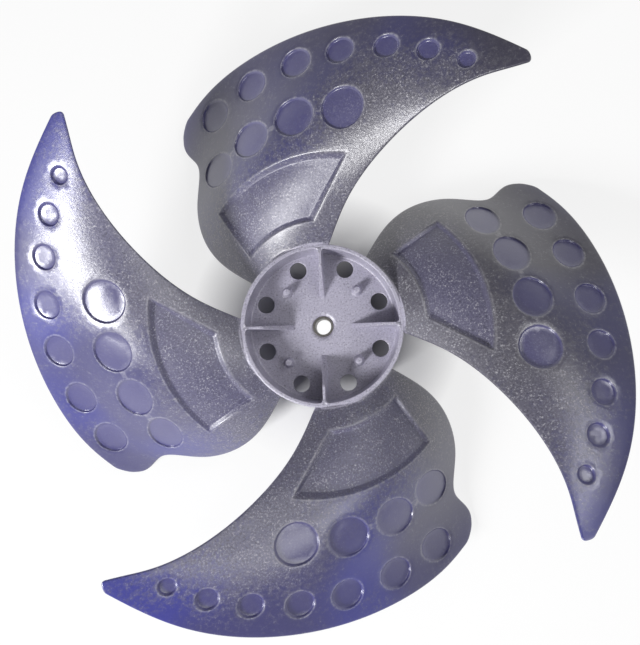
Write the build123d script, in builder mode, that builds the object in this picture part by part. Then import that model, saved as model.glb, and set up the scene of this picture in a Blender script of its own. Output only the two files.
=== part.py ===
from build123d import *
import math
import os

# Four-blade axial fan impeller, one moulding with a metal bore bush.
# Millimetres, +Z towards the air inlet.  Origin: bore axis, top face of the hub disc.

# --- hub ---------------------------------------------------------------
HUB_R = 78.0            # outside radius of the hub ring at its rim
HUB_DRAFT = 1.0         # degrees, ring walls open towards the rim
RIM_TOP = 36.0          # rim height above the disc
RING_WALL = 4.2         # ring wall at the rim
SKIRT_DEPTH = 38.0      # ring continues this far below the disc face
DISC_THICK = 4.5
FLOOR_BEVEL = 2.0       # between disc and ring
RIM_BEVEL = 0.9         # both corners of the rim
SKIRT_TAPER = 0.6       # the skirt wall thins by this much, top and bottom
BOSS_R = 17.0           # shaft boss under the disc
BOSS_DEPTH = 42.0
BOSS_TAPER = 0.8        # the boss is this much slimmer at its foot

RIB_COUNT = 4
RIB_TOP_W = 2.6
RIB_BASE_W = 4.6
RIB_FLAT_R = 57.0       # rib stays at rim height outside this radius
RIB_TOE_R = 28.5        # rib meets the disc here
RIB_ROOT = 1.0          # ribs and webs run this far into the walls they join

HOLE_COUNT = 8
HOLE_PCD = 122.4
HOLE_D = 16.8

PIN_COUNT = 4
PIN_PCD = 98.2
PIN_TOP_R = 3.1
PIN_BASE_R = 5.2
PIN_H = 13.0

WEB_COUNT = 4           # webs under the disc, between the ribs
WEB_T = 3.0
WEB_DEPTH = 30.0

# --- shaft bush --------------------------------------------------------
BORE_D = 16.0
BUSH_OD = 20.6
BUSH_PROUD = 0.8
BUSH_BEVEL = 0.5

# --- blades ------------------------------------------------------------
BLADE_COUNT = 4
EDGE_T = 4.0            # blade thickness, vertical, at leading and trailing edge
MID_T = 6.6             # blade thickness at mid chord

# blade sections on cylinders: radius, leading-edge angle, trailing-edge angle,
# heights of the suction face at leading edge, mid chord and trailing edge
SECTIONS = [
    (64.0, 85.6, 146.2, 24.0, 22.0, -4.0),
    (78.0, 83.2, 146.2, 34.0, 31.0, -6.0),
    (120.0, 76.7, 145.5, 64.0, 50.0, -16.0),
    (160.0, 68.7, 140.7, 90.0, 59.0, -34.0),
    (195.0, 62.2, 133.2, 114.0, 63.0, -50.0),
    (230.0, 55.5, 127.2, 138.0, 66.0, -58.0),
    (276.0, 46.7, 122.2, 160.0, 74.0, -56.0),
    (292.0, 43.7, 120.7, 166.0, 76.0, -55.0),
]
OVERHANG = 0.12         # section run-on past each edge, share of the chord
SURFACE_TOL = 0.01

# plan outline of one blade, polar (radius, angle)
LEADING_EDGE = [(70.0, 85.5), (83.0, 82.3), (117.0, 76.6), (164.0, 68.4),
                (213.0, 59.8), (243.0, 53.8), (257.0, 50.6), (268.0, 48.5)]
OUTER_EDGE = [(274.0, 50.0), (276.6, 64.0), (276.9, 84.0), (276.8, 104.0), (275.0, 116.0), (271.3, 122.2)]
TRAILING_EDGE = [(264.0, 124.6), (252.0, 126.3), (238.0, 126.5), (222.0, 126.4),
                 (206.0, 129.5), (190.0, 134.8), (170.0, 139.8), (147.0, 144.0),
                 (123.0, 146.6), (97.0, 147.2), (70.0, 146.4)]

# pockets in the suction face
POCKET_DEPTH = 3.0
INNER_ROW_R = 193.0
INNER_ROW = [(82.3, 19.6), (95.7, 19.2), (109.2, 18.8), (122.1, 18.2)]         # angle, pocket radius
OUTER_ROW_R = 248.0
OUTER_ROW = [(115.5, 16.7), (104.7, 15.7), (93.8, 14.9), (84.1, 13.2),
             (74.6, 11.6), (66.3, 10.2), (58.6, 8.0)]
PANEL_DEPTH = 5.5
PANEL_WALL = 3.0        # moulding left under the panel
PANEL_SLOPE = 3.0       # width of the sloping panel walls
PANEL_INNER_R = 97.0
PANEL_OUTER_R = 156.0
PANEL_LEAD_IN = 92.0    # angles of the panel corners
PANEL_LEAD_OUT = 79.0
PANEL_TRAIL_IN = 135.5
PANEL_TRAIL_OUT = 131.4


def polar(r, deg):
    return (r * math.cos(math.radians(deg)), r * math.sin(math.radians(deg)))


def section_point(section, u, drop_edge, drop_mid):
    r, lead, trail, z_lead, z_mid, z_trail = section
    angle = lead + (trail - lead) * u
    z = z_lead * (1 - u) * (1 - 2 * u) + 4 * u * (1 - u) * z_mid + u * (2 * u - 1) * z_trail
    belly = max(0.0, 4 * u * (1 - u))
    x, y = polar(r, angle)
    return Vector(x, y, z - drop_edge - (drop_mid - drop_edge) * belly)


def blade_surface(drop_edge, drop_mid):
    steps = 8
    grid = []
    for section in SECTIONS:
        row = []
        for k in range(steps + 1):
            u = -OVERHANG + (1 + 2 * OVERHANG) * k / steps
            row.append(section_point(section, u, drop_edge, drop_mid))
        grid.append(row)
    return Face.make_surface_from_array_of_points(grid, tol=SURFACE_TOL, min_deg=2, max_deg=2)


FAR = 320.0

# half spaces bounded by the blade faces
suction_face = blade_surface(0.0, 0.0)
below_suction = extrude(suction_face, amount=FAR, dir=(0, 0, -1))
above_pressure = extrude(blade_surface(EDGE_T, MID_T), amount=FAR, dir=(0, 0, 1))
above_panel = extrude(blade_surface(PANEL_DEPTH, PANEL_DEPTH), amount=FAR, dir=(0, 0, 1))
PAD_DEPTH = PANEL_DEPTH + PANEL_WALL
above_pad = extrude(blade_surface(PAD_DEPTH, PAD_DEPTH), amount=FAR, dir=(0, 0, 1))

# one blade
with BuildPart() as blade:
    with BuildSketch(Plane.XY.offset(-FAR / 2)):
        with BuildLine():
            lead = Spline([polar(*p) for p in LEADING_EDGE])
            tip = Spline([polar(*p) for p in OUTER_EDGE])
            trail = Spline([polar(*p) for p in TRAILING_EDGE])
            Line(lead @ 1, tip @ 0)
            Line(tip @ 1, trail @ 0)
            Line(trail @ 1, lead @ 0)
        make_face()
    extrude(amount=FAR * 1.2)
    add(below_suction, mode=Mode.INTERSECT)
    add(above_pressure, mode=Mode.INTERSECT)


def above(x, y):
    """Point of the suction face over a plan position, and the face normal there."""
    return suction_face.find_intersection_points(Axis((x, y, -FAR), (0, 0, 1)))[0]


def pocket_floor(x, y, radius):
    """Flat floor along the blade, POCKET_DEPTH under the mean height of the pocket's rim."""
    normal = above(x, y)[1]
    if normal.Z < 0:
        normal = -normal
    rim = [above(x + dx, y + dy)[0].Z for dx, dy in ((radius, 0), (-radius, 0), (0, radius), (0, -radius))]
    return Plane(origin=(x, y, sum(rim) / len(rim) - POCKET_DEPTH), z_dir=normal)


def pocket_tool(row_r, angle, radius):
    x, y = polar(row_r, angle)
    with BuildPart(mode=Mode.PRIVATE) as tool:
        with Locations((x, y, 0)):
            Cylinder(radius, FAR * 1.2)
        split(bisect_by=pocket_floor(x, y, radius), keep=Keep.TOP)
    return tool.part


# round pockets, two arc rows
with BuildPart() as pockets:
    for angle, radius in INNER_ROW:
        add(pocket_tool(INNER_ROW_R, angle, radius))
    for angle, radius in OUTER_ROW:
        add(pocket_tool(OUTER_ROW_R, angle, radius))


def panel_prism(inset):
    inner, outer = PANEL_INNER_R + inset, PANEL_OUTER_R - inset
    lead_in = PANEL_LEAD_IN + math.degrees(inset / inner)
    lead_out = PANEL_LEAD_OUT + math.degrees(inset / outer)
    trail_in = PANEL_TRAIL_IN - math.degrees(inset / inner)
    trail_out = PANEL_TRAIL_OUT - math.degrees(inset / outer)
    with BuildPart(mode=Mode.PRIVATE) as prism:
        with BuildSketch(Plane.XY.offset(-FAR / 2)):
            with BuildLine():
                ThreePointArc(polar(inner, lead_in), polar(inner, (lead_in + trail_in) / 2),
                              polar(inner, trail_in))
                Line(polar(inner, trail_in), polar(outer, trail_out))
                ThreePointArc(polar(outer, trail_out), polar(outer, (lead_out + trail_out) / 2),
                              polar(outer, lead_out))
                Line(polar(outer, lead_out), polar(inner, lead_in))
            make_face()
        extrude(amount=FAR * 1.2)
    return prism.part


# root panel: a raised pad on the back carries the recess in front
with BuildPart() as pad:
    add(panel_prism(0.0))
    add(below_suction, mode=Mode.INTERSECT)
    add(above_pad, mode=Mode.INTERSECT)

with BuildPart() as panel:
    add(panel_prism(PANEL_SLOPE))
    add(above_panel, mode=Mode.INTERSECT)


with BuildPart() as blade_done:
    add(blade)
    add(pad)
    add(panel, mode=Mode.SUBTRACT)
    add(pockets, mode=Mode.SUBTRACT)
    Cylinder(HUB_R - RING_WALL / 2, FAR, mode=Mode.SUBTRACT)

# hub: ring, disc, skirt and boss in one turned profile
RIM_IN = HUB_R - RING_WALL
FLOOR_IN = RIM_IN - RIM_TOP * math.tan(math.radians(HUB_DRAFT))
SKIRT_OUT = HUB_R + (RIM_TOP + SKIRT_DEPTH) * math.tan(math.radians(HUB_DRAFT))
SKIRT_IN_TOP = RIM_IN - SKIRT_TAPER
SKIRT_IN_BOTTOM = SKIRT_OUT - RING_WALL + SKIRT_TAPER
BORE_SEAT_R = BUSH_OD / 2
WEB_SPAN = SKIRT_IN_TOP - BOSS_R + 2 * (RIB_ROOT + BOSS_TAPER)

with BuildPart() as hub:
    with BuildSketch(Plane.XZ) as profile:
        with BuildLine():
            Polyline(
                (BORE_SEAT_R, 0), (FLOOR_IN, 0), (RIM_IN, RIM_TOP), (HUB_R, RIM_TOP),
                (SKIRT_OUT, -SKIRT_DEPTH), (SKIRT_IN_BOTTOM, -SKIRT_DEPTH),
                (SKIRT_IN_TOP, -DISC_THICK), (BOSS_R, -DISC_THICK),
                (BOSS_R - BOSS_TAPER, -BOSS_DEPTH), (BORE_SEAT_R, -BOSS_DEPTH), close=True)
        make_face()
        corner = profile.vertices().sort_by_distance((FLOOR_IN, 0))[0]
        chamfer(corner, FLOOR_BEVEL)
        rim = profile.vertices().sort_by_distance((HUB_R, RIM_TOP))[0]
        rim_inner = profile.vertices().sort_by_distance((RIM_IN, RIM_TOP))[0]
        chamfer([rim, rim_inner], RIM_BEVEL)
    revolve(axis=Axis.Z)

    # webs under the disc, between the holes
    with BuildSketch(Plane.XY.offset(-DISC_THICK - WEB_DEPTH)):
        with PolarLocations((BOSS_R + SKIRT_IN_TOP) / 2, WEB_COUNT, start_angle=180 / WEB_COUNT):
            Rectangle(WEB_SPAN, WEB_T)
    extrude(amount=WEB_DEPTH)

    # through holes
    with PolarLocations(HOLE_PCD / 2, HOLE_COUNT, start_angle=180 / HOLE_COUNT):
        Cylinder(HOLE_D / 2, 3 * DISC_THICK, mode=Mode.SUBTRACT)

    # pins
    with PolarLocations(PIN_PCD / 2, PIN_COUNT, start_angle=180 / PIN_COUNT):
        Cone(PIN_BASE_R, PIN_TOP_R, PIN_H, align=(Align.CENTER, Align.CENTER, Align.MIN))

# tapered radial rib: a trapezoid bar trimmed to its side outline
with BuildPart() as rib:
    with BuildSketch(Plane.YZ.offset(RIB_TOE_R - RIB_ROOT)):
        with BuildLine():
            Polyline((-RIB_BASE_W / 2, -RIB_ROOT), (RIB_BASE_W / 2, -RIB_ROOT),
                     (RIB_TOP_W / 2, RIM_TOP), (-RIB_TOP_W / 2, RIM_TOP), close=True)
        make_face()
    extrude(amount=RIM_IN + 2 * RIB_ROOT - RIB_TOE_R)
    with BuildSketch(Plane.XZ.offset(-RIB_BASE_W)):
        with BuildLine():
            Polyline((RIB_TOE_R, 0), (RIB_FLAT_R, RIM_TOP), (RIM_IN + RIB_ROOT, RIM_TOP),
                     (RIM_IN + RIB_ROOT, -RIB_ROOT), (RIB_TOE_R, -RIB_ROOT), close=True)
        make_face()
    extrude(amount=2 * RIB_BASE_W, mode=Mode.INTERSECT)

with BuildPart() as impeller:
    add(hub)
    with PolarLocations(0, RIB_COUNT):
        add(rib)
    with PolarLocations(0, BLADE_COUNT):
        add(blade_done)
impeller.part.label = "impeller"

with BuildPart() as shaft_bush:
    with BuildSketch(Plane.XY.offset(-BOSS_DEPTH)):
        Circle(BUSH_OD / 2)
        Circle(BORE_D / 2, mode=Mode.SUBTRACT)
    extrude(amount=BOSS_DEPTH + BUSH_PROUD)
    chamfer(shaft_bush.edges().filter_by(GeomType.CIRCLE).group_by(Axis.Z)[-1], BUSH_BEVEL)
shaft_bush.part.label = "shaft_bush"

os.makedirs("parts", exist_ok=True)
export_step(impeller.part, "parts/impeller.step")
export_step(shaft_bush.part, "parts/shaft_bush.step")
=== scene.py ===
import math

import bmesh
import bpy
import numpy as np
from mathutils import Matrix, Vector
from mathutils.geometry import delaunay_2d_cdt


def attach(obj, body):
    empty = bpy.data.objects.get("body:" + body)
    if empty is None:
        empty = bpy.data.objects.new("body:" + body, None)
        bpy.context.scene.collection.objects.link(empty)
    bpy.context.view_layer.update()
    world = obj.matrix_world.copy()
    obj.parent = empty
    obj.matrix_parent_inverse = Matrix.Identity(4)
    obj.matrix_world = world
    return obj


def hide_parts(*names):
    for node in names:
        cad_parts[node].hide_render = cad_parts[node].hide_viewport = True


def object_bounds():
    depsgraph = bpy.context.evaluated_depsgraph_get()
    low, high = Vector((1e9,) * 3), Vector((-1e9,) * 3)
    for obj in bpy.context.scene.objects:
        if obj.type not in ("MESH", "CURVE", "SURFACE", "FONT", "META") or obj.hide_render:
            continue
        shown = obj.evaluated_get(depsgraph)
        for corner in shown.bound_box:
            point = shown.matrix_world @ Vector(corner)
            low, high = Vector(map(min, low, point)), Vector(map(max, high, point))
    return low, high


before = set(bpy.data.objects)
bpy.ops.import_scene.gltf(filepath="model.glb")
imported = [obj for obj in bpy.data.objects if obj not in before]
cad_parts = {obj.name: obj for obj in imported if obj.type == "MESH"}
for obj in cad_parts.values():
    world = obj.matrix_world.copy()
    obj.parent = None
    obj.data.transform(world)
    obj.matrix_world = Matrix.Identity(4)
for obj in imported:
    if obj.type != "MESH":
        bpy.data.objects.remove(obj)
cad_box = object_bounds()

MM = 0.001                  # the sizes below are millimetres, meshes are metres

# --- view ----------------------------------------------------------------
VIEW_DISTANCE = 0.745       # camera to hub disc, metres
VIEW_TILT_X = math.radians(-1.60)
VIEW_TILT_Y = math.radians(-1.95)
VIEW_ROLL = math.radians(1.8)
FRAME_WIDTH_AT_HUB = 0.640  # what the picture spans at the hub disc, metres
AIM_OFFSET = Vector((-0.0032, 0.0041, 0.0))

SENSOR_WIDTH = 36.0
CLIP_START = 0.01

turn = (Matrix.Rotation(VIEW_TILT_X, 3, "X") @ Matrix.Rotation(VIEW_TILT_Y, 3, "Y")
        @ Matrix.Rotation(VIEW_ROLL, 3, "Z"))
to_part = turn.transposed()

# --- hub, as in the part -----------------------------------------------------
HUB_R = 78.0
DRAFT = math.tan(math.radians(1.0))
RIM_TOP = 36.0
RING_WALL = 4.2
SKIRT_DEPTH = 38.0
SKIRT_TAPER = 0.6
DISC_THICK = 4.5
BOSS_R = 17.0
BOSS_TAPER = 0.8
BOSS_DEPTH = 42.0
BORE_SEAT_R = 10.3
RIB_COUNT = 4
RIB_TOP_W = 2.6
RIB_BASE_W = 4.6
RIB_FLAT_R = 57.0
RIB_TOE_R = 28.5
HOLE_COUNT = 8
HOLE_R = 8.4
HOLE_CIRCLE_R = 61.2
PIN_COUNT = 4
PIN_CIRCLE_R = 49.1
PIN_TOP_R = 3.1
PIN_BASE_R = 5.2
PIN_H = 13.0
WEB_COUNT = 4
WEB_T = 3.0
WEB_DEPTH = 30.0

RIM_IN = HUB_R - RING_WALL
FLOOR_IN = RIM_IN - RIM_TOP * DRAFT
SKIRT_OUT = HUB_R + (RIM_TOP + SKIRT_DEPTH) * DRAFT
SKIRT_IN_TOP = RIM_IN - SKIRT_TAPER
SKIRT_IN_BOTTOM = SKIRT_OUT - RING_WALL + SKIRT_TAPER
DISC_EDGE = 70.2            # the flat disc ends here and the floor fillet starts
HOLE_ROUND = 0.4            # rounding of the hole mouths
RING_STEPS = 144
HOLE_STEP = 1.1             # mesh step round the holes
DISC_CELL = 6.0             # spacing of the plain points on the disc
DISC_MARGIN = 5.0
RIB_FOOT = 1.6              # fillet where a rib stands on the disc
RIB_CROWN = 0.5             # rounding of its top edges
RIB_SINK = 0.2              # how far its foot goes into the disc
RIB_LAP = 1.0               # how far it runs into the ring
RIB_SOFT_H = 4.0            # below this height the roundings shrink
RIB_MIN_H = 0.05
CORNER_REACH = 4.0          # fillet where a rib meets the ring
CORNER_LEVELS = (0.0, 8.0, 16.0, 24.0, 32.0, RIM_TOP - 0.8, RIM_TOP - 0.25, RIM_TOP)
CORNER_TOP_SHRINK = 0.35
CORNER_SHOULDER_SHRINK = 0.08
CORNER_BACKING = 1.2
WEB_LAP_BOSS = 1.6
WEB_LAP_SKIRT = 1.4
WEB_ROUND = 0.6
PIN_FOOT = 1.8
PIN_SINK = 0.1
RING_ROUNDS = (2.8, 1.1, 1.5, 0.8, 0.8, 2.0)    # floor, rim in, rim out, skirt out, skirt in, under the disc

# --- blades, as in the part ----------------------------------------------------
BLADE_COUNT = 4
EDGE_T = 4.0
MID_T = 6.6
# radius, leading-edge angle, trailing-edge angle, height at leading edge, mid chord, trailing edge
SECTIONS = [
    (64.0, 85.6, 146.2, 24.0, 22.0, -4.0),
    (78.0, 83.2, 146.2, 34.0, 31.0, -6.0),
    (120.0, 76.7, 145.5, 64.0, 50.0, -16.0),
    (160.0, 68.7, 140.7, 90.0, 59.0, -34.0),
    (195.0, 62.2, 133.2, 114.0, 63.0, -50.0),
    (230.0, 55.5, 127.2, 138.0, 66.0, -58.0),
    (276.0, 46.7, 122.2, 160.0, 74.0, -56.0),
    (292.0, 43.7, 120.7, 166.0, 76.0, -55.0),
]
LEADING_EDGE = [(70.0, 85.5), (83.0, 82.3), (117.0, 76.6), (164.0, 68.4),
                (213.0, 59.8), (243.0, 53.8), (257.0, 50.6), (268.0, 48.5)]
OUTER_EDGE = [(274.0, 50.0), (276.6, 64.0), (276.9, 84.0), (276.8, 104.0), (275.0, 116.0), (271.3, 122.2)]
TRAILING_EDGE = [(264.0, 124.6), (252.0, 126.3), (238.0, 126.5), (222.0, 126.4),
                 (206.0, 129.5), (190.0, 134.8), (170.0, 139.8), (147.0, 144.0),
                 (123.0, 146.6), (97.0, 147.2), (70.0, 146.4)]
TIP_ROUND = 4.6             # corner roundings of the outline
LOBE_ROUND = 6.4
ROOT_R = 76.6               # the blades end inside the hub ring
ROOT_FILLET = 4.5
EDGE_ROUND = 1.5            # rounding of the blade's rim

POCKET_DEPTH = 3.0
POCKET_WALL = 2.2           # width of the sloping pocket walls
INNER_ROW_R = 193.0
INNER_ROW = [(82.3, 19.6), (95.7, 19.2), (109.2, 18.8), (122.1, 18.2)]
OUTER_ROW_R = 248.0
OUTER_ROW = [(115.5, 16.7), (104.7, 15.7), (93.8, 14.9), (84.1, 13.2),
             (74.6, 11.6), (66.3, 10.2), (58.6, 8.0)]
PANEL_DEPTH = 5.5
PANEL_BACK = 8.5            # back of the raised pad, under the front face
PANEL_SLOPE = 6.0           # width of the sloping panel walls
PAD_SLOPE = 1.6
PANEL_INNER_R = 97.0
PANEL_OUTER_R = 156.0
PANEL_LEAD_IN = 92.0
PANEL_LEAD_OUT = 79.0
PANEL_TRAIL_IN = 135.5
PANEL_TRAIL_OUT = 131.4

TOP_CELL = 4.4              # mesh cell on the open faces
BACK_CELL = 5.2
EDGE_STEP = 2.0
WALL_STEP = 1.5
ROUND_SHARES = (0.12, 0.35, 0.65, 1.0)          # rows across the edge rounding
ROOT_ROWS = (0.6, 1.1, 1.8, 2.8, 4.0, 5.2)      # rows across the root fillet, out from the ring
POCKET_SHARES = (0.0, 0.12, 0.28, 0.5, 0.72, 0.88, 1.0)     # rows down the pocket wall
PANEL_SHARES = (0.0, 0.08, 0.2, 0.5, 0.8, 0.92, 1.0)
PAD_SHARES = (0.0, 0.2, 0.5, 0.8, 1.0)
HOLE_SHARES = (0.0, 0.3, 1.0)
ROOT_MARGIN = 1.5           # the root fillet keeps this far from the ring's ends
ROW_HEIGHT = 0.87           # of the plain cells, a share of their width
NEAREST = 0.55              # plain points keep this share of a cell from the rows
WELD = 0.004


# --- curves ----------------------------------------------------------------
def cubic_through(t, values):
    """Natural cubic spline through rows of values at rising t."""
    t, values = np.asarray(t, float), np.asarray(values, float)
    count, gap = len(t), np.diff(t)
    system, right = np.zeros((count, count)), np.zeros_like(values)
    system[0, 0] = system[-1, -1] = 1.0
    for i in range(1, count - 1):
        system[i, i - 1:i + 2] = gap[i - 1], 2 * (gap[i - 1] + gap[i]), gap[i]
        right[i] = 6 * ((values[i + 1] - values[i]) / gap[i] - (values[i] - values[i - 1]) / gap[i - 1])
    bend = np.linalg.solve(system, right)

    def sample(q):
        q = np.atleast_1d(np.asarray(q, float))
        i = np.clip(np.searchsorted(t, q) - 1, 0, count - 2)
        width = gap[i][:, None]
        low, high = (t[i + 1] - q)[:, None] / width, (q - t[i])[:, None] / width
        return (low * values[i] + high * values[i + 1]
                + ((low ** 3 - low) * bend[i] + (high ** 3 - high) * bend[i + 1]) * width ** 2 / 6)

    return sample


def polar(r, deg):
    return np.array((r * math.cos(math.radians(deg)), r * math.sin(math.radians(deg))))


def smooth_run(points, step):
    """Evenly stepped run along the spline through polar points."""
    plan = np.array([polar(*p) for p in points])
    along = np.concatenate([[0], np.cumsum(np.linalg.norm(np.diff(plan, axis=0), axis=1))])
    return cubic_through(along, plan)(np.linspace(0, along[-1], int(along[-1] / step) + 1))


def straight_run(a, b, step):
    a, b = np.asarray(a, float), np.asarray(b, float)
    count = max(2, int(np.linalg.norm(b - a) / step) + 1)
    return a + (b - a) * np.linspace(0, 1, count)[:, None]


def arc_run(r, start, end, step):
    count = max(3, int(abs(math.radians(end - start)) * r / step) + 2)
    return np.array([polar(r, a) for a in np.linspace(start, end, count)])


def round_corners(points, reaches, steps=5):
    """Open polyline whose inner corners are rounded, each over its own reach."""
    points = [np.asarray(p, float) for p in points]
    out = [points[0]]
    for before, corner, after, reach in zip(points, points[1:], points[2:], reaches):
        first = corner + (before - corner) * min(0.49, reach / np.linalg.norm(before - corner))
        last = corner + (after - corner) * min(0.49, reach / np.linalg.norm(after - corner))
        for t in np.linspace(0, 1, steps):
            out.append((1 - t) ** 2 * first + 2 * t * (1 - t) * corner + t * t * last)
    out.append(points[-1])
    return np.array(out)


def ease(t, soft=0.22):
    """Ramp from 0 to 1 with rounded ends."""
    t = np.clip(t, 0, 1)
    low, high = t ** 2, (1 - t) ** 2
    ramp = np.where(t < soft, low / (2 * soft), t - soft / 2)
    ramp = np.where(t > 1 - soft, 1 - soft - high / (2 * soft), ramp)
    return ramp / (1 - soft)


# --- mesh building ------------------------------------------------------------
class Shell:
    """Vertices in millimetres and faces, gathered piece by piece."""

    def __init__(self):
        self.verts, self.faces = [], []

    def add(self, verts, faces):
        base = len(self.verts)
        self.verts.extend(tuple(v) for v in verts)
        self.faces.extend(tuple(base + i for i in face) for face in faces)

    def grid(self, rows, around=False, ends=False):
        """Rows of points joined by quads; around closes each row, ends caps the first and last row."""
        rows = [np.asarray(row) for row in rows]
        width, faces = len(rows[0]), []
        for j in range(len(rows) - 1):
            for i in range(width if around else width - 1):
                k = (i + 1) % width
                faces.append((j * width + i, j * width + k, (j + 1) * width + k, (j + 1) * width + i))
        if ends:
            faces.append(tuple(range(width)))
            faces.append(tuple((len(rows) - 1) * width + i for i in range(width))[::-1])
        self.add(np.concatenate(rows), faces)

    def turned(self, profile, steps=RING_STEPS, centre=(0, 0)):
        rows = []
        for a in np.linspace(0, 2 * math.pi, steps, endpoint=False):
            rows.append([(centre[0] + r * math.cos(a), centre[1] + r * math.sin(a), z) for r, z in profile])
        self.grid(rows + rows[:1])

    def copies(self, other, count, start=0.0):
        """Takes in another shell, turned about Z."""
        for k in range(count):
            a = math.radians(start + 360.0 * k / count)
            c, s = math.cos(a), math.sin(a)
            self.add([(x * c - y * s, x * s + y * c, z) for x, y, z in other.verts], other.faces)

    def make(self, name):
        """One closed object in metres, its open ends filled."""
        mesh = bpy.data.meshes.new(name)
        mesh.from_pydata([(x * MM, y * MM, z * MM) for x, y, z in self.verts], [], self.faces)
        work = bmesh.new()
        work.from_mesh(mesh)
        bmesh.ops.remove_doubles(work, verts=work.verts, dist=WELD * MM)
        for face in work.faces:
            face.smooth = True
        bmesh.ops.holes_fill(work, edges=[e for e in work.edges if e.is_boundary], sides=0)
        bmesh.ops.recalc_face_normals(work, faces=work.faces)
        work.to_mesh(mesh)
        work.free()
        piece = bpy.data.objects.new(name, mesh)
        bpy.context.collection.objects.link(piece)
        return piece


def triangulate(plan, edges):
    """Constrained Delaunay mesh of plan points; returns points, triangles and where each came from."""
    verts, _, faces, origin, _, _ = delaunay_2d_cdt([Vector(p) for p in plan], edges, [], 1, 1e-5)
    return np.array([tuple(v) for v in verts]), faces, origin


# --- blade ------------------------------------------------------------------------
section_at = cubic_through([s[0] for s in SECTIONS], [s[1:] for s in SECTIONS])


def chord_place(plan):
    """Radius of plan points, and their share of the chord from the leading edge."""
    r = np.hypot(plan[:, 0], plan[:, 1])
    angle = np.degrees(np.arctan2(plan[:, 1], plan[:, 0]))
    lead, trail = section_at(r)[:, :2].T
    return r, (angle - lead) / (trail - lead)


def suction_height(plan):
    """Height of the suction face: a parabola through the section's three heights."""
    r, u = chord_place(plan)
    lead_z, mid_z, trail_z = section_at(r)[:, 2:].T
    return lead_z * (1 - u) * (1 - 2 * u) + 4 * u * (1 - u) * mid_z + u * (2 * u - 1) * trail_z


def wall_thickness(plan):
    u = chord_place(plan)[1]
    return EDGE_T + (MID_T - EDGE_T) * np.clip(4 * u * (1 - u), 0, None)


def root_rise(plan, height, way):
    """Fillet between a blade face and the hub ring."""
    r = np.hypot(plan[:, 0], plan[:, 1])
    gap = np.clip(r - HUB_R - (RIM_TOP - height) * DRAFT, 0, ROOT_FILLET)
    rise = ROOT_FILLET - np.sqrt(ROOT_FILLET ** 2 - (ROOT_FILLET - gap) ** 2)
    room = (RIM_TOP - height if way > 0 else height + SKIRT_DEPTH) - ROOT_MARGIN
    return way * rise * np.clip(room / ROOT_FILLET, 0, 1)


def blade_outline():
    """Leading edge, outer edge and trailing edge from root to root, with rounded corners."""
    lead = smooth_run(LEADING_EDGE, EDGE_STEP)
    outer = smooth_run(OUTER_EDGE, EDGE_STEP)
    trail = smooth_run(TRAILING_EDGE, EDGE_STEP)
    run = [lead]
    for start, end, reach in ((lead, outer, TIP_ROUND), (outer, trail, LOBE_ROUND)):
        tail = start[np.linalg.norm(start - start[-1], axis=1) > reach]
        head = end[np.linalg.norm(end - end[0], axis=1) > reach]
        bend = round_corners([tail[-1], start[-1], end[0], head[0]], [reach, reach], 7)[1:-1]
        run[-1] = run[-1][:len(run[-1]) + len(tail) - len(start)]
        run += [bend, head]
    run = np.concatenate(run)
    run = run[np.hypot(run[:, 0], run[:, 1]) > ROOT_R + 0.5]
    along = np.concatenate([[0], np.cumsum(np.linalg.norm(np.diff(run, axis=0), axis=1))])
    return run[np.concatenate([[True], np.diff(along) > 0.05])]


def inset_run(run, distance):
    """Open run moved sideways, into the blade."""
    ahead = np.gradient(run, axis=0)
    ahead /= np.linalg.norm(ahead, axis=1)[:, None]
    return run + distance * np.stack([-ahead[:, 1], ahead[:, 0]], axis=1)


def panel_loop(inset, step):
    """Closed outline of the root panel, moved in by inset."""
    inner, outer = PANEL_INNER_R + inset, PANEL_OUTER_R - inset
    lead_in = PANEL_LEAD_IN + math.degrees(inset / inner)
    lead_out = PANEL_LEAD_OUT + math.degrees(inset / outer)
    trail_in = PANEL_TRAIL_IN - math.degrees(inset / inner)
    trail_out = PANEL_TRAIL_OUT - math.degrees(inset / outer)
    sides = [arc_run(inner, lead_in, trail_in, step),
             straight_run(polar(inner, trail_in), polar(outer, trail_out), step),
             arc_run(outer, trail_out, lead_out, step),
             straight_run(polar(outer, lead_out), polar(inner, lead_in), step)]
    return np.concatenate([side[:-1] for side in sides])


def inside_loop(points, loop):
    """Which points lie inside a closed plan loop."""
    x, y = points[:, 0], points[:, 1]
    inside = np.zeros(len(points), bool)
    for (ax, ay), (bx, by) in zip(loop, np.roll(loop, -1, axis=0)):
        if ay != by:
            crosses = (ay > y) != (by > y)
            inside ^= crosses & (x < (bx - ax) * (y - ay) / (by - ay) + ax)
    return inside


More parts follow.
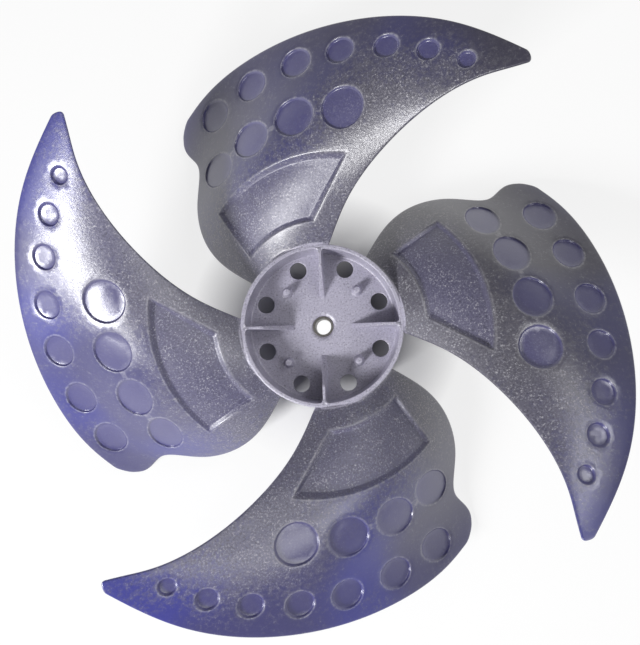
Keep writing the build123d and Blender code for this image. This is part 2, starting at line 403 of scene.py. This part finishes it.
class FaceLayout:
    """Plan points of one blade face, each with a drop below the plain face."""

    def __init__(self, outline):
        self.outline = outline
        end_a = math.degrees(math.atan2(outline[-1, 1], outline[-1, 0]))
        start_a = math.degrees(math.atan2(outline[0, 1], outline[0, 0]))
        self.root = arc_run(ROOT_R, end_a, start_a, EDGE_STEP)
        self.border = np.concatenate([outline, self.root])
        self.points, self.drops, self.edges, self.zones = [], [], [], []
        self.rounding = np.concatenate([np.full(len(outline), EDGE_ROUND), np.zeros(len(self.root))])
        self.loop(self.border, self.rounding)
        for share in ROUND_SHARES:
            gap = share * EDGE_ROUND
            drop = EDGE_ROUND - math.sqrt(EDGE_ROUND ** 2 - (EDGE_ROUND - gap) ** 2)
            self.run(inset_run(outline, gap)[2:-2], drop)
        for gap in ROOT_ROWS:
            ring = arc_run(HUB_R + gap, end_a, start_a, EDGE_STEP)
            self.run(ring[3:-3], 0.0)

    def run(self, points, drop, closed=False):
        base = len(self.points)
        self.points.extend(points)
        self.drops.extend(np.broadcast_to(drop, len(points)))
        self.edges.extend((base + i, base + i + 1) for i in range(len(points) - 1))
        if closed:
            self.edges.append((base + len(points) - 1, base))

    def loop(self, points, drop):
        self.run(points, drop, closed=True)

    def fill(self, cell):
        """Plain cells where no ring or zone is near."""
        low, high = self.border.min(axis=0), self.border.max(axis=0)
        xs, ys = np.arange(low[0], high[0], cell), np.arange(low[1], high[1], cell * ROW_HEIGHT)
        cloud = np.array([(x + (j % 2) * cell / 2, y) for j, y in enumerate(ys) for x in xs])
        cloud = cloud[inside_loop(cloud, self.border)]
        taken = np.array(self.points)
        near = np.array([np.min(np.sum((taken - p) ** 2, axis=1)) for p in cloud])
        cloud = cloud[near > (NEAREST * cell) ** 2]
        drops = np.zeros(len(cloud))
        for loop, depth in self.zones:
            drops[inside_loop(cloud, loop)] = depth
        self.points.extend(cloud)
        self.drops.extend(drops)

    def solve(self):
        plan, faces, origin = triangulate(self.points, self.edges)
        drops = np.array([self.drops[came[0]] if came else 0.0 for came in origin])
        return plan, faces, drops


def pocket_places():
    """Centre and radius of each pocket of the first blade."""
    for row_r, row in ((INNER_ROW_R, INNER_ROW), (OUTER_ROW_R, OUTER_ROW)):
        for angle, radius in row:
            yield polar(row_r, angle), radius


def circle_run(centre, radius, step):
    count = max(24, int(2 * math.pi * radius / step))
    turns = np.linspace(0, 2 * math.pi, count, endpoint=False)
    return centre + radius * np.stack([np.cos(turns), np.sin(turns)], axis=1)


def make_blade():
    """First blade: the suction face with its pockets and panel, the back with its pad, and the rim."""
    blade = Shell()
    outline = blade_outline()
    top = FaceLayout(outline)
    for centre, radius in pocket_places():
        for share in POCKET_SHARES:
            ring = circle_run(centre, radius - share * POCKET_WALL, WALL_STEP)
            top.loop(ring, POCKET_DEPTH * float(ease(share)))
        top.zones.append((circle_run(centre, radius - 0.5 * POCKET_WALL, WALL_STEP), POCKET_DEPTH))
    for share in PANEL_SHARES:
        top.loop(panel_loop(share * PANEL_SLOPE, EDGE_STEP), PANEL_DEPTH * float(ease(share)))
    top.zones.append((panel_loop(0.5 * PANEL_SLOPE, EDGE_STEP), PANEL_DEPTH))
    top.fill(TOP_CELL)
    plan, faces, drops = top.solve()
    height = suction_height(plan)
    height = height - drops + root_rise(plan, height, 1)
    blade.add(np.column_stack([plan, height]), faces)

    # on the back a negative drop is a share of the pad behind the panel
    back = FaceLayout(outline)
    for share in PAD_SHARES:
        back.loop(panel_loop(share * PAD_SLOPE, EDGE_STEP), -float(ease(share)))
    back.zones.append((panel_loop(0.5 * PAD_SLOPE, EDGE_STEP), -1.0))
    back.fill(BACK_CELL)
    plan, faces, drops = back.solve()
    front = suction_height(plan)
    plain = front - wall_thickness(plan)
    padded = np.minimum(plain, front - PANEL_BACK)
    share = np.clip(-drops, 0, 1)
    height = plain + np.clip(drops, 0, None) + (padded - plain) * share
    height = height + root_rise(plan, height, -1)
    blade.add(np.column_stack([plan, height]), [face[::-1] for face in faces])

    # rim band between the two faces, along the border that they share
    front = suction_height(top.border)
    high = front - top.rounding + root_rise(top.border, front, 1)
    low = front - wall_thickness(top.border) + top.rounding
    low = low + root_rise(top.border, low, -1)
    blade.grid([np.column_stack([top.border, high]), np.column_stack([top.border, low])], around=True)
    return blade


# --- hub ------------------------------------------------------------------------------
def hole_centres():
    return [polar(HOLE_CIRCLE_R, 180 / HOLE_COUNT + 360 * k / HOLE_COUNT) for k in range(HOLE_COUNT)]


def disc_face(shell, z, way, inner):
    """Flat disc face with the through holes, its hole mouths rounded."""
    points, edges, levels = [], [], []

    def ring(loop, level):
        base = len(points)
        points.extend(loop)
        levels.extend([level] * len(loop))
        edges.extend((base + i, base + (i + 1) % len(loop)) for i in range(len(loop)))

    turns = np.linspace(0, 360, RING_STEPS, endpoint=False)
    ring([polar(DISC_EDGE, a) for a in turns], z)
    ring([polar(inner, a) for a in turns], z)
    centres = hole_centres()
    for centre in centres:
        for share in HOLE_SHARES:
            drop = HOLE_ROUND - math.sqrt(HOLE_ROUND ** 2 - (HOLE_ROUND * (1 - share)) ** 2)
            ring(circle_run(centre, HOLE_R + share * HOLE_ROUND, HOLE_STEP), z - way * drop)
    for r in np.arange(inner + DISC_MARGIN, DISC_EDGE - 1, DISC_CELL):
        for a in np.linspace(0, 360, int(r), endpoint=False):
            spot = polar(r, a)
            if min(np.linalg.norm(spot - centre) for centre in centres) > HOLE_R + 1.5:
                points.append(spot)
                levels.append(z)
    plan, faces, origin = triangulate(points, edges)
    keep = []
    for face in faces:
        middle = plan[list(face)].mean(axis=0)
        in_hole = any(np.linalg.norm(middle - centre) < HOLE_R - 0.01 for centre in centres)
        if not in_hole and np.linalg.norm(middle) > inner:
            keep.append(face)
    shell.add([(x, y, levels[came[0]]) for (x, y), came in zip(plan, origin)], keep)


def rib_half_width(z):
    return (RIB_BASE_W - (RIB_BASE_W - RIB_TOP_W) * z / RIM_TOP) / 2


def make_rib():
    """Tapered rib with rounded top edges and a fillet on the floor."""
    rib, rows = Shell(), []
    base = RIB_BASE_W / 2
    slope = np.linspace(RIB_TOE_R, RIB_FLAT_R - 1.5, 26)
    flat = np.linspace(RIB_FLAT_R, RIM_IN + RIB_LAP, 10)
    for x in np.concatenate([slope, flat]):
        height = max(RIB_MIN_H, RIM_TOP * min(1.0, (x - RIB_TOE_R) / (RIB_FLAT_R - RIB_TOE_R)))
        top = rib_half_width(height)
        small = min(1.0, height / RIB_SOFT_H)
        side, crown = RIB_FOOT * small, RIB_CROWN * small
        section = round_corners([(-base - RIB_FOOT, -RIB_SINK), (-base, 0), (-top, height),
                                 (top, height), (base, 0), (base + RIB_FOOT, -RIB_SINK)],
                                [side, crown, crown, side], 5)
        rows.append([(x, y, z) for y, z in section])
    rib.grid(rows)
    rib.grid([[row[0], row[-1]] for row in rows])
    rib.add(rows[0], [tuple(range(len(rows[0])))])
    rib.add(rows[-1], [tuple(range(len(rows[-1])))[::-1]])
    return rib


def make_corner(side):
    """Upright fillet where a rib meets the ring."""
    corner, rows = Shell(), []
    shrinks = [0.0] * (len(CORNER_LEVELS) - 2) + [CORNER_SHOULDER_SHRINK, CORNER_TOP_SHRINK]
    for z, shrink in zip(CORNER_LEVELS, shrinks):
        half = rib_half_width(z)
        ring_r = FLOOR_IN + z * DRAFT
        reach = CORNER_REACH - shrink
        meet = np.array((math.sqrt(ring_r ** 2 - half ** 2), half))
        on_rib = meet - (reach, 0.0)
        on_ring = polar(ring_r, math.degrees(math.asin(half / ring_r) + reach / ring_r))
        curve = [(1 - t) ** 2 * on_rib + 2 * t * (1 - t) * meet + t * t * on_ring
                 for t in np.linspace(0, 1, 8)]
        behind = [on_ring + (CORNER_BACKING, 0.0), meet + (CORNER_BACKING, -0.8), on_rib - (0.0, 0.8)]
        rows.append([(x, side * y, z) for x, y in curve + behind])
    corner.grid(rows, around=True, ends=True)
    return corner


def make_web():
    """Plate under the disc, from the boss to the skirt."""
    web, half = Shell(), WEB_T / 2
    section = round_corners([(-half, 1.0), (-half, -WEB_DEPTH), (half, -WEB_DEPTH), (half, 1.0)],
                            [WEB_ROUND, WEB_ROUND], 4)
    rows = [[(x, y, z - DISC_THICK) for y, z in section]
            for x in np.linspace(BOSS_R - WEB_LAP_BOSS, SKIRT_IN_TOP + WEB_LAP_SKIRT, 8)]
    web.grid(rows, around=True, ends=True)
    return web


def make_hub():
    hub = Shell()
    ring = round_corners(
        [(DISC_EDGE, 0), (FLOOR_IN, 0), (RIM_IN, RIM_TOP), (HUB_R, RIM_TOP), (SKIRT_OUT, -SKIRT_DEPTH),
         (SKIRT_IN_BOTTOM, -SKIRT_DEPTH), (SKIRT_IN_TOP, -DISC_THICK), (DISC_EDGE, -DISC_THICK)],
        RING_ROUNDS, 6)
    hub.turned(ring)
    disc_face(hub, 0.0, 1, BORE_SEAT_R)
    disc_face(hub, -DISC_THICK, -1, BOSS_R)
    hub.turned(round_corners([(BOSS_R, -DISC_THICK), (BOSS_R - BOSS_TAPER, -BOSS_DEPTH),
                              (BORE_SEAT_R, -BOSS_DEPTH), (BORE_SEAT_R, 0)], [0.6, 0.2], 4))
    for centre in hole_centres():
        loop = circle_run(centre, HOLE_R, HOLE_STEP)
        levels = (-HOLE_ROUND, -DISC_THICK / 2, HOLE_ROUND - DISC_THICK)
        hub.grid([[(x, y, z) for x, y in loop] for z in levels], around=True)
    pin = Shell()
    pin.turned(round_corners([(PIN_BASE_R + PIN_FOOT, -PIN_SINK), (PIN_BASE_R, 0),
                              (PIN_TOP_R, PIN_H), (0.01, PIN_H)], [1.6, 0.7], 5), 40, (PIN_CIRCLE_R, 0))
    hub.copies(pin, PIN_COUNT, 180 / PIN_COUNT)
    hub.copies(make_rib(), RIB_COUNT)
    hub.copies(make_corner(1), RIB_COUNT)
    hub.copies(make_corner(-1), RIB_COUNT)
    hub.copies(make_web(), WEB_COUNT, 180 / WEB_COUNT)
    return hub


# --- colours ---------------------------------------------------------------
VIOLET = (0.054, 0.051, 0.170, 1.0)       # smooth outer parts of the blades
BLUE = (0.046, 0.048, 0.270, 1.0)         # its most saturated patches
SLATE = (0.042, 0.039, 0.064, 1.0)        # the same plastic, greyer and darker: painted shade towards the upper right, and less violet away from the tips
FROST = (0.100, 0.096, 0.116, 1.0)        # grained root and leading edge, painted lighter as a sheen
LIT_FROST = (0.140, 0.134, 0.215, 1.0)   # the same grain, painted lighter on the lit lower-left side
POCKET_TINT = (0.076, 0.071, 0.205, 1.0)  # floors of the round pockets
PANEL_TINT = (0.092, 0.086, 0.170, 1.0)
HUB_GREY = (0.400, 0.382, 0.480, 1.0)
GLINT = (0.66, 0.65, 0.69, 1.0)           # painted glints: light specks of the grain
# painted shade in the grain's pits
PIT_SHADE = (0.012, 0.011, 0.022, 1.0)
METAL = (0.20, 0.19, 0.18, 1.0)
METAL_PALE = (0.42, 0.40, 0.37, 1.0)
FLOOR = (0.90, 0.90, 0.90, 1.0)
# painted shadow: the floor's own colour is darker under the hub
PAINTED_HUB_SHADOW = (0.30, 0.30, 0.32, 1.0)

# --- finish: noise scales per metre, then the ranges that the shader maps ------
GRAIN_SCALE = 560.0
SPECK_SCALE = 250.0
CLUSTER_SCALE = 70.0
RIPPLE_SCALE = 55.0
PATCH_SCALE = 30.0
CLOUD_SCALE = 9.0
POOL_SCALE = 7.5
METAL_SCALE = 900.0
LIT_SIDE_X = -1.7               # rise of the violet per metre towards -X and -Y: painted light on the lit lower left, painted shade on the upper right
LIT_SIDE_Y = -1.2
OUTER_TINT = (0.20, 0.28, 0.0, 0.30)            # and towards the tips
CLOUD = (0.3, 0.7, -0.12, 0.12)
TINT_SPAN = (-0.35, 0.40)
POOL_SPAN = (0.42, 0.60)
PATCH = (0.35, 0.65, -0.16, 0.16)
DITHER = (0.35, 0.65, -0.30, 0.30)
FROST_SPAN = (0.05, 0.95)
PANEL_SHARE = 0.7
POCKET_SHARE = 0.7
POCKET_GRAIN = 0.25         # what is left of the grain on a pocket floor
PIT_SHADE_SPAN = (0.46, 0.34)
PIT_SHADE_SHARE = (0.12, 0.65)    # on smooth and on grained plastic, as the next ones
GLINT_SPAN = (0.54, 0.66)
GLINT_SHARE = (0.03, 0.70)
CLUSTER = (0.40, 0.58, 0.25, 1.0)
EDGE_HIGHLIGHT_START = 0.2
EDGE_HIGHLIGHT_WIDTH = 1.3                   # half width of the painted highlight line along pocket and panel edges
EDGE_HIGHLIGHT_SHARE = (0.35, 0.62, 0.02, 0.26)
ROUGH_NOISE = (0.3, 0.7, -0.25, 0.25)
ROUGHNESS = (0.31, 0.35)
PANEL_ROUGHER = 0.11
GRAIN_BUMP = (0.12, 0.55)
GRAIN_HEIGHT = 0.0005
RIPPLE_BUMP = (0.10, 0.40)
RIPPLE_HEIGHT = 0.0014
PLASTIC_IOR = 1.6
PLASTIC_SPECULAR = 0.95
METAL_ROUGHNESS = (0.3, 0.7, 0.30, 0.48)

# --- zones of the blades, millimetres and shares of the chord --------------------
ROOT_ZONE = (190.0, 60.0)   # where the root's grain and painted sheen end, and over what width
FRONT_ZONE = (0.52, 0.30)   # the same for the leading edge's, along the chord
TIP_ZONE = (268.0, 60.0)
FRONT_LAP = 6.0             # degrees ahead of the leading edge that still belong to a blade
POCKET_FADE = 1.2
HUB_LAP = 1.6
PANEL_INSET = 2.0
FAR_EDGE = 9.0

# --- stage ------------------------------------------------------------------------
FLOOR_SIZE = 16.0
FLOOR_GAP = 0.0002
HUB_SHADE = (0.055, 0.090)                      # radii over which the painted shadow under the hub fades and the floor turns pale
FLOOR_WHITE = (0.080, 0.150, 0.0, 0.80)         # how white the camera sees it, by radius; kept low near the hub, where the painted shadow stays
PAINTED_BORE_SPOT = (0.0130, 0.0115, 0.0, 1.0)         # and a painted white spot below the bore, which glows to the camera
SKY = (0.10, 0.34, 0.50, 0.13)                  # strength of the world, by height
SKY_SEEN = (("Is Camera Ray", 1.0), ("Is Transmission Ray", 1.0), ("Is Glossy Ray", 0.2))
LAMPS = (("key", (-1.08, -0.94, 1.16), 0.45, 36),           # name, place, size, watts
         ("fill", (1.30, -0.45, 1.40), 1.0, 9),
         ("sheen", (1.05, 0.85, 1.40), 0.50, 6))


def set_range(node, numbers):
    for socket, number in zip(list(node.inputs)[1:5], numbers):
        socket.default_value = number


class Recipe:
    """A material's nodes, added one line at a time."""

    def __init__(self, name):
        self.mat = bpy.data.materials.new(name)
        self.mat.use_nodes = True
        self.nodes, self.links = self.mat.node_tree.nodes, self.mat.node_tree.links
        self.shader = self.nodes["Principled BSDF"]
        self.place = self.nodes.new("ShaderNodeTexCoord").outputs["Object"]

    def feed(self, socket, value):
        if isinstance(value, bpy.types.NodeSocket):
            self.links.new(value, socket)
        else:
            socket.default_value = value

    def attribute(self, name):
        node = self.nodes.new("ShaderNodeAttribute")
        node.attribute_name = name
        return node.outputs["Fac"]

    def noise(self, scale, detail=2.0, rough=0.5):
        node = self.nodes.new("ShaderNodeTexNoise")
        node.inputs["Scale"].default_value = scale
        node.inputs["Detail"].default_value = detail
        node.inputs["Roughness"].default_value = rough
        self.links.new(self.place, node.inputs["Vector"])
        return node.outputs["Fac"]

    def reach(self):
        """Distance from the origin, metres."""
        node = self.nodes.new("ShaderNodeVectorMath")
        node.operation = "LENGTH"
        self.links.new(self.place, node.inputs[0])
        return node.outputs["Value"]

    def math(self, operation, a, b):
        node = self.nodes.new("ShaderNodeMath")
        node.operation = operation
        self.feed(node.inputs[0], a)
        self.feed(node.inputs[1], b)
        return node.outputs[0]

    def ramp(self, value, low, high, start=0.0, end=1.0):
        node = self.nodes.new("ShaderNodeMapRange")
        set_range(node, (low, high, start, end))
        self.links.new(value, node.inputs["Value"])
        return node.outputs["Result"]

    def mix(self, share, a, b):
        node = self.nodes.new("ShaderNodeMix")
        node.data_type = "RGBA"
        self.feed(node.inputs["Factor"], share)
        self.feed(node.inputs["A"], a)
        self.feed(node.inputs["B"], b)
        return node.outputs["Result"]

    def bump(self, height, strength, distance, under=None):
        node = self.nodes.new("ShaderNodeBump")
        self.feed(node.inputs["Strength"], strength)
        node.inputs["Distance"].default_value = distance
        self.links.new(height, node.inputs["Height"])
        if under:
            self.links.new(under, node.inputs["Normal"])
        return node.outputs["Normal"]

    def finish(self, **values):
        for name, value in values.items():
            self.feed(self.shader.inputs[name.replace("_", " ")], value)
        return self.mat


def plastic():
    mat = Recipe("moulded_plastic")
    grain_sheen, hub = mat.attribute("grain_sheen"), mat.attribute("hub")
    pocket, panel = mat.attribute("pocket"), mat.attribute("panel")
    # painted highlight line along the pocket and panel edges
    edge_highlight = mat.ramp(mat.attribute("edge"), EDGE_HIGHLIGHT_START, EDGE_HIGHLIGHT_WIDTH, 1.0, 0.0)
    grain = mat.noise(GRAIN_SCALE, 4.0, 0.75)
    speck = mat.noise(SPECK_SCALE, 3.0, 0.7)

    # slate to violet: painted light and shade, lighter violet towards the lit lower left of the view and
    # darker slate towards the upper right; also more violet towards the tips
    split = mat.nodes.new("ShaderNodeSeparateXYZ")
    mat.links.new(mat.place, split.inputs[0])
    drift = mat.math("ADD", mat.math("MULTIPLY", split.outputs["X"], LIT_SIDE_X),
                    mat.math("MULTIPLY", split.outputs["Y"], LIT_SIDE_Y))
    drift = mat.math("ADD", drift, mat.ramp(mat.reach(), *OUTER_TINT))
    cloud = mat.ramp(mat.noise(CLOUD_SCALE, 2.0), *CLOUD)
    tint = mat.ramp(mat.math("ADD", drift, cloud), *TINT_SPAN)
    pool = mat.ramp(mat.noise(POOL_SCALE, 1.0), *POOL_SPAN)
    body = mat.mix(tint, SLATE, mat.mix(pool, VIOLET, BLUE))

    # the grained zones, a real grain painted lighter as a sheen, then the panel, the pockets and the hub
    patch = mat.ramp(mat.noise(PATCH_SCALE, 5.0, 0.7), *PATCH)
    dither = mat.ramp(speck, *DITHER)
    frost = mat.ramp(mat.math("ADD", grain_sheen, mat.math("ADD", patch, dither)), *FROST_SPAN)
    # the grain, too, is painted lighter towards the lit lower left
    body = mat.mix(frost, body, mat.mix(tint, FROST, LIT_FROST))
    body = mat.mix(mat.math("MULTIPLY", panel, PANEL_SHARE), body, PANEL_TINT)
    body = mat.mix(mat.math("MULTIPLY", pocket, POCKET_SHARE), body, POCKET_TINT)
    body = mat.mix(hub, body, HUB_GREY)

    # painted shade in the grain's pits, painted glints on its specks, and a painted highlight line along the
    # edges
    grained = mat.math("MULTIPLY", mat.math("MAXIMUM", frost, hub),
                      mat.ramp(pocket, 0.0, 1.0, 1.0, POCKET_GRAIN))
    pit_shade = mat.math("MULTIPLY", mat.ramp(grain, *PIT_SHADE_SPAN), mat.ramp(grained, 0.0, 1.0, *PIT_SHADE_SHARE))
    body = mat.mix(pit_shade, body, PIT_SHADE)
    glints = mat.math("MULTIPLY", mat.ramp(grain, *GLINT_SPAN), mat.ramp(grained, 0.0, 1.0, *GLINT_SHARE))
    glints = mat.math("MULTIPLY", glints, mat.ramp(mat.noise(CLUSTER_SCALE, 4.0, 0.6), *CLUSTER))
    glints = mat.math("MAXIMUM", glints, mat.math("MULTIPLY", edge_highlight, mat.ramp(speck, *EDGE_HIGHLIGHT_SHARE)))
    body = mat.mix(glints, body, GLINT)

    rough = mat.math("ADD", grained, mat.ramp(grain, *ROUGH_NOISE))
    rough = mat.ramp(rough, 0.0, 1.0, *ROUGHNESS)
    rough = mat.math("ADD", rough, mat.math("MULTIPLY", panel, PANEL_ROUGHER))
    fine = mat.bump(grain, mat.ramp(grained, 0.0, 1.0, *GRAIN_BUMP), GRAIN_HEIGHT)
    ripple = mat.bump(mat.noise(RIPPLE_SCALE, 3.0), mat.ramp(grain_sheen, 0.0, 1.0, *RIPPLE_BUMP),
                      RIPPLE_HEIGHT, fine)
    return mat.finish(Base_Color=body, Roughness=rough, Normal=ripple, IOR=PLASTIC_IOR,
                      Specular_IOR_Level=PLASTIC_SPECULAR)


def metal():
    mat = Recipe("bush_metal")
    grain = mat.noise(METAL_SCALE, 3.0)
    return mat.finish(Metallic=1.0, Base_Color=mat.mix(grain, METAL, METAL_PALE),
                      Roughness=mat.ramp(grain, *METAL_ROUGHNESS), Normal=mat.bump(grain, 0.2, 0.0002))


def dress(obj, mat):
    obj.data.materials.clear()
    obj.data.materials.append(mat)


def distance_to(points, loop):
    """Plan distance of each point from a closed loop."""
    best = np.full(len(points), np.inf)
    for a, b in zip(loop, np.roll(loop, -1, axis=0)):
        run = b - a
        share = np.clip((points - a) @ run / max(run @ run, 1e-9), 0, 1)
        best = np.minimum(best, np.hypot(*(points - a - share[:, None] * run).T))
    return best


def mark_zones(piece):
    """Zones of the finish, kept on the points: grain_sheen (grain with a painted sheen), hub, pocket, panel,
    and distance to an edge.
    """
    points = np.array([v.co for v in piece.data.vertices]) / MM
    r = np.hypot(points[:, 0], points[:, 1])
    angle = np.degrees(np.arctan2(points[:, 1], points[:, 0]))
    lead, trail = section_at(np.clip(r, SECTIONS[0][0], SECTIONS[-1][0]))[:, :2].T
    swing = (angle - lead + FRONT_LAP) % (360 / BLADE_COUNT) - FRONT_LAP
    u = swing / (trail - lead)
    turned = np.radians(swing + lead)
    home = np.stack([r * np.cos(turned), r * np.sin(turned)], axis=1)
    root, front, tip = (np.clip((end - value) / width, 0, 1)
                        for value, (end, width) in ((r, ROOT_ZONE), (u, FRONT_ZONE), (r, TIP_ZONE)))
    zones = {"grain_sheen": np.maximum(root, front * tip), "hub": (r < HUB_R + HUB_LAP).astype(float)}
    pocket, edge = np.zeros(len(points)), np.full(len(points), FAR_EDGE)
    for centre, radius in pocket_places():
        x, y = centre
        for place in ((x, y), (y, -x), (-y, x)):        # on this blade and on its two neighbours
            away = np.hypot(*(home - place).T)
            pocket = np.maximum(pocket, np.clip((radius - away) / POCKET_FADE, 0, 1))
            edge = np.minimum(edge, abs(radius - away))
    zones["pocket"] = pocket
    zones["panel"] = inside_loop(home, panel_loop(PANEL_INSET, TOP_CELL)).astype(float)
    zones["edge"] = np.minimum(edge, distance_to(home, panel_loop(0.0, TOP_CELL)))
    for name, values in zones.items():
        layer = piece.data.attributes.new(name, "FLOAT", "POINT")
        layer.data.foreach_set("value", values.astype(np.float32))


def make_camera():
    data = bpy.data.cameras.new("camera")
    data.sensor_fit = "HORIZONTAL"
    data.sensor_width = SENSOR_WIDTH
    data.lens = SENSOR_WIDTH * VIEW_DISTANCE / FRAME_WIDTH_AT_HUB
    data.clip_start = CLIP_START
    cam = bpy.data.objects.new("camera", data)
    bpy.context.collection.objects.link(cam)
    place = to_part @ Vector((0.0, 0.0, VIEW_DISTANCE))
    aim = to_part @ AIM_OFFSET
    back = (place - aim).normalized()
    up = to_part @ Vector((0.0, 1.0, 0.0))
    right = up.cross(back).normalized()
    up = back.cross(right)
    rotation = Matrix((right, up, back)).transposed()
    cam.matrix_world = Matrix.Translation(place) @ rotation.to_4x4()
    bpy.context.scene.camera = cam


def make_floor():
    """Pale floor with a painted shadow under the hub and a painted white spot below the bore; whiter to the
    camera away from the hub.
    """
    bpy.ops.mesh.primitive_plane_add(size=FLOOR_SIZE, location=(0, 0, cad_box[0][2] - FLOOR_GAP))
    floor = bpy.context.object
    floor.name = "floor"
    mat = Recipe("floor")
    reach = mat.reach()
    # painted shadow under the hub, in the floor's colour
    mat.finish(Base_Color=mat.mix(mat.ramp(reach, *HUB_SHADE), PAINTED_HUB_SHADOW, FLOOR), Roughness=0.9)
    path = mat.nodes.new("ShaderNodeLightPath").outputs
    seen = mat.math("MAXIMUM", path["Is Camera Ray"],
                    mat.math("MAXIMUM", path["Is Glossy Ray"], path["Is Transmission Ray"]))
    # painted light: a white spot below the bore, glowing to the camera
    share = mat.math("MAXIMUM", mat.ramp(reach, *FLOOR_WHITE), mat.ramp(reach, *PAINTED_BORE_SPOT))
    white = mat.nodes.new("ShaderNodeEmission")
    blend = mat.nodes.new("ShaderNodeMixShader")
    mat.feed(blend.inputs[0], mat.math("MULTIPLY", seen, share))
    mat.feed(blend.inputs[1], mat.shader.outputs[0])
    mat.feed(blend.inputs[2], white.outputs[0])
    mat.feed(mat.nodes["Material Output"].inputs["Surface"], blend.outputs[0])
    floor.data.materials.append(mat.mat)


def area_light(name, place, size, power):
    """Square lamp that faces the hub."""
    data = bpy.data.lights.new(name, "AREA")
    data.size = size
    data.energy = power
    lamp = bpy.data.objects.new(name, data)
    bpy.context.collection.objects.link(lamp)
    lamp.location = place
    lamp.rotation_euler = Vector(place).to_track_quat("Z", "Y").to_euler()


def make_world():
    """Light that is dim overhead and pale near the horizon; the camera sees it white."""
    world = bpy.data.worlds.new("world")
    bpy.context.scene.world = world
    world.use_nodes = True
    nodes, links = world.node_tree.nodes, world.node_tree.links
    split = nodes.new("ShaderNodeSeparateXYZ")
    links.new(nodes.new("ShaderNodeTexCoord").outputs["Generated"], split.inputs[0])
    fade = nodes.new("ShaderNodeMapRange")
    set_range(fade, SKY)
    links.new(split.outputs["Z"], fade.inputs["Value"])
    path = nodes.new("ShaderNodeLightPath").outputs
    strength = fade.outputs["Result"]
    for ray, share in SKY_SEEN:
        seen, top = nodes.new("ShaderNodeMath"), nodes.new("ShaderNodeMath")
        seen.operation, top.operation = "MULTIPLY", "MAXIMUM"
        links.new(path[ray], seen.inputs[0])
        seen.inputs[1].default_value = share
        links.new(seen.outputs[0], top.inputs[0])
        links.new(strength, top.inputs[1])
        strength = top.outputs[0]
    links.new(strength, nodes["Background"].inputs["Strength"])
    nodes["Background"].inputs["Color"].default_value = (1, 1, 1, 1)


# --- the model ------------------------------------------------------------------
moulding = Shell()
moulding.copies(make_hub(), 1)
moulding.copies(make_blade(), BLADE_COUNT)
impeller = moulding.make("impeller_moulding")
mark_zones(impeller)
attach(impeller, "root")
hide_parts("impeller")
dress(impeller, plastic())
dress(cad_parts["shaft_bush"], metal())

make_camera()
make_floor()
for lamp in LAMPS:
    area_light(*lamp)
make_world()

bpy.context.scene.view_settings.view_transform = "Standard"
